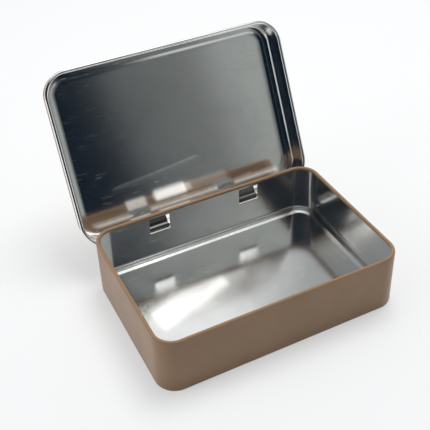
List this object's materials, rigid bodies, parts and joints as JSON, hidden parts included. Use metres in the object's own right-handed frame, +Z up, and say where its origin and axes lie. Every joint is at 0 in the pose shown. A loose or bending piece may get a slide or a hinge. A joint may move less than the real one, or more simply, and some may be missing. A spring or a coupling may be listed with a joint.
{
  "type": "candy tin",
  "caption": "Small hinged tinplate box with round corners, a rolled rim and a slip-over lid on two rolled tongue hinges.",
  "frame": {"origin": "middle of the foot of the box, on the surface that it stands on", "axes": "+X along the length of the box, +Y towards the hinges at the back, +Z up"},
  "size_m": [0.1146, 0.1198, 0.0878],
  "materials": {
    "tan_lacquer": "satin tan lacquer over tinplate outside, bare bright tinplate inside",
    "bare_tinplate": "bare bright rolled tinplate inside and on the rolled edge, satin tan lacquer outside"
  },
  "bodies": {
    "box": {"box": "tan_lacquer"},
    "lid": {"lid": "bare_tinplate", "hinge_tongue_left": "bare_tinplate", "hinge_tongue_right": "bare_tinplate"}
  },
  "joints": [
    {"name": "lid_hinge", "type": "hinge", "parent": "box", "child": "lid", "pos_m": [0, 0.039, 0.0169], "axis": [1, 0, 0], "range_deg": [0, 116]}
  ]
}
